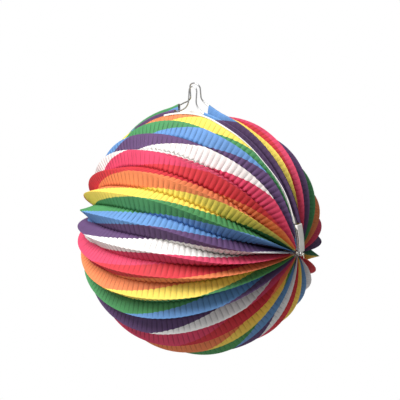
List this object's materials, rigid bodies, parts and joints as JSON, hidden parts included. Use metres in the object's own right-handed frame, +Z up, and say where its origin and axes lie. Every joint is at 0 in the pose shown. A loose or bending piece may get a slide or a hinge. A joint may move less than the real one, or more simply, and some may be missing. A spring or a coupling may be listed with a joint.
{
  "type": "accordion paper lantern",
  "caption": "Round accordion paper lantern of crimped striped paper that fans out between two hinged wire half-hoops, with hanging loops and a candle holder.",
  "frame": {"origin": "the hang point: the underside of the rear hanging loop's top, 7 mm to the left of the ball's centre", "axes": "+Z up through the hanging loops, +X along the fold axis from the left pole to the right pole, -Y the front, towards the front half-hoop"},
  "size_m": [0.2572, 0.24, 0.2711],
  "materials": {
    "pink_paper": "matte",
    "orange_paper": "matte",
    "green_paper": "matte",
    "purple_paper": "matte",
    "steel_wire": "satin",
    "sleeve_paper": "matte",
    "white_strip": "matte",
    "thread": "matte",
    "grey_card": "matte",
    "tin": "satin"
  },
  "bodies": {
    "rear_frame": {"rear_wire_hoop": "steel_wire", "rear_sleeve_right": "sleeve_paper", "rear_sleeve_left": "sleeve_paper", "rear_edge_strip": "white_strip", "rear_end_facet": "green_paper", "right_pole_thread": "thread", "left_pole_thread": "thread"},
    "front_frame": {"front_wire_hoop": "steel_wire", "front_sleeve_right": "sleeve_paper", "front_sleeve_left": "sleeve_paper", "front_edge_strip": "white_strip", "front_end_facet": "orange_paper", "right_pole_tape": "white_strip", "left_pole_tape": "white_strip"},
    "pleat_01_body": {"pleat_01": "green_paper"},
    "pleat_02_body": {"pleat_02": "purple_paper"},
    "pleat_03_body": {"pleat_03": "pink_paper"},
    "pleat_04_body": {"pleat_04": "orange_paper"},
    "pleat_05_body": {"pleat_05": "green_paper"},
    "pleat_06_body": {"pleat_06": "purple_paper"},
    "pleat_07_body": {"pleat_07": "pink_paper"},
    "pleat_08_body": {"pleat_08": "orange_paper"},
    "pleat_09_body": {"pleat_09": "green_paper"},
    "pleat_10_body": {"pleat_10": "purple_paper"},
    "pleat_11_body": {"pleat_11": "pink_paper"},
    "pleat_12_body": {"pleat_12": "orange_paper"},
    "pleat_13_body": {"pleat_13": "green_paper"},
    "pleat_14_body": {"pleat_14": "purple_paper"},
    "pleat_15_body": {"pleat_15": "pink_paper", "candle_card": "grey_card", "candle_tray": "tin", "candle_cup": "tin", "candle_rivet": "steel_wire"},
    "pleat_16_body": {"pleat_16": "orange_paper"},
    "pleat_17_body": {"pleat_17": "green_paper"},
    "pleat_18_body": {"pleat_18": "purple_paper"},
    "pleat_19_body": {"pleat_19": "pink_paper"},
    "pleat_20_body": {"pleat_20": "orange_paper"},
    "pleat_21_body": {"pleat_21": "green_paper"},
    "pleat_22_body": {"pleat_22": "purple_paper"},
    "pleat_23_body": {"pleat_23": "pink_paper"},
    "pleat_24_body": {"pleat_24": "orange_paper"},
    "pleat_25_body": {"pleat_25": "green_paper"},
    "pleat_26_body": {"pleat_26": "purple_paper"},
    "pleat_27_body": {"pleat_27": "pink_paper"},
    "pleat_28_body": {"pleat_28": "orange_paper"}
  },
  "joints": [
    {"name": "frame_fold", "type": "hinge", "parent": "rear_frame", "child": "front_frame", "pos_m": [0.007, 0, -0.14935], "axis": [1, 0, 0], "range_deg": [0, 343.5], "deforming": ["front_end_facet", "front_sleeve_right", "front_sleeve_left", "right_pole_tape", "left_pole_tape", "rear_end_facet", "rear_sleeve_right", "rear_sleeve_left"]},
    {"name": "pleat_01_fold", "type": "hinge", "parent": "rear_frame", "child": "pleat_01_body", "pos_m": [0.007, 0, -0.14935], "axis": [1, 0, 0], "range_deg": [0, 332.06], "deforming": ["pleat_01"]},
    {"name": "pleat_02_fold", "type": "hinge", "parent": "rear_frame", "child": "pleat_02_body", "pos_m": [0.007, 0, -0.14935], "axis": [1, 0, 0], "range_deg": [0, 320.61], "deforming": ["pleat_02"]},
    {"name": "pleat_03_fold", "type": "hinge", "parent": "rear_frame", "child": "pleat_03_body", "pos_m": [0.007, 0, -0.14935], "axis": [1, 0, 0], "range_deg": [0, 309.16], "deforming": ["pleat_03"]},
    {"name": "pleat_04_fold", "type": "hinge", "parent": "rear_frame", "child": "pleat_04_body", "pos_m": [0.007, 0, -0.14935], "axis": [1, 0, 0], "range_deg": [0, 297.71], "deforming": ["pleat_04"]},
    {"name": "pleat_05_fold", "type": "hinge", "parent": "rear_frame", "child": "pleat_05_body", "pos_m": [0.007, 0, -0.14935], "axis": [1, 0, 0], "range_deg": [0, 286.26], "deforming": ["pleat_05"]},
    {"name": "pleat_06_fold", "type": "hinge", "parent": "rear_frame", "child": "pleat_06_body", "pos_m": [0.007, 0, -0.14935], "axis": [1, 0, 0], "range_deg": [0, 274.81], "deforming": ["pleat_06"]},
    {"name": "pleat_07_fold", "type": "hinge", "parent": "rear_frame", "child": "pleat_07_body", "pos_m": [0.007, 0, -0.14935], "axis": [1, 0, 0], "range_deg": [0, 263.36], "deforming": ["pleat_07"]},
    {"name": "pleat_08_fold", "type": "hinge", "parent": "rear_frame", "child": "pleat_08_body", "pos_m": [0.007, 0, -0.14935], "axis": [1, 0, 0], "range_deg": [0, 251.91], "deforming": ["pleat_08"]},
    {"name": "pleat_09_fold", "type": "hinge", "parent": "rear_frame", "child": "pleat_09_body", "pos_m": [0.007, 0, -0.14935], "axis": [1, 0, 0], "range_deg": [0, 240.46], "deforming": ["pleat_09"]},
    {"name": "pleat_10_fold", "type": "hinge", "parent": "rear_frame", "child": "pleat_10_body", "pos_m": [0.007, 0, -0.14935], "axis": [1, 0, 0], "range_deg": [0, 229.01], "deforming": ["pleat_10"]},
    {"name": "pleat_11_fold", "type": "hinge", "parent": "rear_frame", "child": "pleat_11_body", "pos_m": [0.007, 0, -0.14935], "axis": [1, 0, 0], "range_deg": [0, 217.56], "deforming": ["pleat_11"]},
    {"name": "pleat_12_fold", "type": "hinge", "parent": "rear_frame", "child": "pleat_12_body", "pos_m": [0.007, 0, -0.14935], "axis": [1, 0, 0], "range_deg": [0, 206.11], "deforming": ["pleat_12"]},
    {"name": "pleat_13_fold", "type": "hinge", "parent": "rear_frame", "child": "pleat_13_body", "pos_m": [0.007, 0, -0.14935], "axis": [1, 0, 0], "range_deg": [0, 194.66], "deforming": ["pleat_13"]},
    {"name": "pleat_14_fold", "type": "hinge", "parent": "rear_frame", "child": "pleat_14_body", "pos_m": [0.007, 0, -0.14935], "axis": [1, 0, 0], "range_deg": [0, 183.21], "deforming": ["pleat_14"]},
    {"name": "pleat_15_fold", "type": "hinge", "parent": "rear_frame", "child": "pleat_15_body", "pos_m": [0.007, 0, -0.14935], "axis": [1, 0, 0], "range_deg": [0, 171.76], "deforming": ["pleat_15"]},
    {"name": "pleat_16_fold", "type": "hinge", "parent": "rear_frame", "child": "pleat_16_body", "pos_m": [0.007, 0, -0.14935], "axis": [1, 0, 0], "range_deg": [0, 160.31], "deforming": ["pleat_16"]},
    {"name": "pleat_17_fold", "type": "hinge", "parent": "rear_frame", "child": "pleat_17_body", "pos_m": [0.007, 0, -0.14935], "axis": [1, 0, 0], "range_deg": [0, 148.86], "deforming": ["pleat_17"]},
    {"name": "pleat_18_fold", "type": "hinge", "parent": "rear_frame", "child": "pleat_18_body", "pos_m": [0.007, 0, -0.14935], "axis": [1, 0, 0], "range_deg": [0, 137.41], "deforming": ["pleat_18"]},
    {"name": "pleat_19_fold", "type": "hinge", "parent": "rear_frame", "child": "pleat_19_body", "pos_m": [0.007, 0, -0.14935], "axis": [1, 0, 0], "range_deg": [0, 125.96], "deforming": ["pleat_19"]},
    {"name": "pleat_20_fold", "type": "hinge", "parent": "rear_frame", "child": "pleat_20_body", "pos_m": [0.007, 0, -0.14935], "axis": [1, 0, 0], "range_deg": [0, 114.51], "deforming": ["pleat_20"]},
    {"name": "pleat_21_fold", "type": "hinge", "parent": "rear_frame", "child": "pleat_21_body", "pos_m": [0.007, 0, -0.14935], "axis": [1, 0, 0], "range_deg": [0, 103.06], "deforming": ["pleat_21"]},
    {"name": "pleat_22_fold", "type": "hinge", "parent": "rear_frame", "child": "pleat_22_body", "pos_m": [0.007, 0, -0.14935], "axis": [1, 0, 0], "range_deg": [0, 91.61], "deforming": ["pleat_22"]},
    {"name": "pleat_23_fold", "type": "hinge", "parent": "rear_frame", "child": "pleat_23_body", "pos_m": [0.007, 0, -0.14935], "axis": [1, 0, 0], "range_deg": [0, 80.16], "deforming": ["pleat_23"]},
    {"name": "pleat_24_fold", "type": "hinge", "parent": "rear_frame", "child": "pleat_24_body", "pos_m": [0.007, 0, -0.14935], "axis": [1, 0, 0], "range_deg": [0, 66.8], "deforming": ["pleat_24"]},
    {"name": "pleat_25_fold", "type": "hinge", "parent": "rear_frame", "child": "pleat_25_body", "pos_m": [0.007, 0, -0.14935], "axis": [1, 0, 0], "range_deg": [0, 53.44], "deforming": ["pleat_25"]},
    {"name": "pleat_26_fold", "type": "hinge", "parent": "rear_frame", "child": "pleat_26_body", "pos_m": [0.007, 0, -0.14935], "axis": [1, 0, 0], "range_deg": [0, 40.09], "deforming": ["pleat_26"]},
    {"name": "pleat_27_fold", "type": "hinge", "parent": "rear_frame", "child": "pleat_27_body", "pos_m": [0.007, 0, -0.14935], "axis": [1, 0, 0], "range_deg": [0, 26.73], "deforming": ["pleat_27"]},
    {"name": "pleat_28_fold", "type": "hinge", "parent": "rear_frame", "child": "pleat_28_body", "pos_m": [0.007, 0, -0.14935], "axis": [1, 0, 0], "range_deg": [0, 13.37], "deforming": ["pleat_28"]}
  ],
  "couplings": [
    {"joint": "pleat_01_fold", "follows": "frame_fold", "ratio": 0.96667},
    {"joint": "pleat_02_fold", "follows": "frame_fold", "ratio": 0.93333},
    {"joint": "pleat_03_fold", "follows": "frame_fold", "ratio": 0.9},
    {"joint": "pleat_04_fold", "follows": "frame_fold", "ratio": 0.86667},
    {"joint": "pleat_05_fold", "follows": "frame_fold", "ratio": 0.83333},
    {"joint": "pleat_06_fold", "follows": "frame_fold", "ratio": 0.8},
    {"joint": "pleat_07_fold", "follows": "frame_fold", "ratio": 0.76667},
    {"joint": "pleat_08_fold", "follows": "frame_fold", "ratio": 0.73333},
    {"joint": "pleat_09_fold", "follows": "frame_fold", "ratio": 0.7},
    {"joint": "pleat_10_fold", "follows": "frame_fold", "ratio": 0.66667},
    {"joint": "pleat_11_fold", "follows": "frame_fold", "ratio": 0.63333},
    {"joint": "pleat_12_fold", "follows": "frame_fold", "ratio": 0.6},
    {"joint": "pleat_13_fold", "follows": "frame_fold", "ratio": 0.56667},
    {"joint": "pleat_14_fold", "follows": "frame_fold", "ratio": 0.53333},
    {"joint": "pleat_15_fold", "follows": "frame_fold", "ratio": 0.5},
    {"joint": "pleat_16_fold", "follows": "frame_fold", "ratio": 0.46667},
    {"joint": "pleat_17_fold", "follows": "frame_fold", "ratio": 0.43333},
    {"joint": "pleat_18_fold", "follows": "frame_fold", "ratio": 0.4},
    {"joint": "pleat_19_fold", "follows": "frame_fold", "ratio": 0.36667},
    {"joint": "pleat_20_fold", "follows": "frame_fold", "ratio": 0.33333},
    {"joint": "pleat_21_fold", "follows": "frame_fold", "ratio": 0.3},
    {"joint": "pleat_22_fold", "follows": "frame_fold", "ratio": 0.26667},
    {"joint": "pleat_23_fold", "follows": "frame_fold", "ratio": 0.23333},
    {"joint": "pleat_24_fold", "follows": "frame_fold", "ratio": 0.19444},
    {"joint": "pleat_25_fold", "follows": "frame_fold", "ratio": 0.15556},
    {"joint": "pleat_26_fold", "follows": "frame_fold", "ratio": 0.11667},
    {"joint": "pleat_27_fold", "follows": "frame_fold", "ratio": 0.077778},
    {"joint": "pleat_28_fold", "follows": "frame_fold", "ratio": 0.038889}
  ]
}
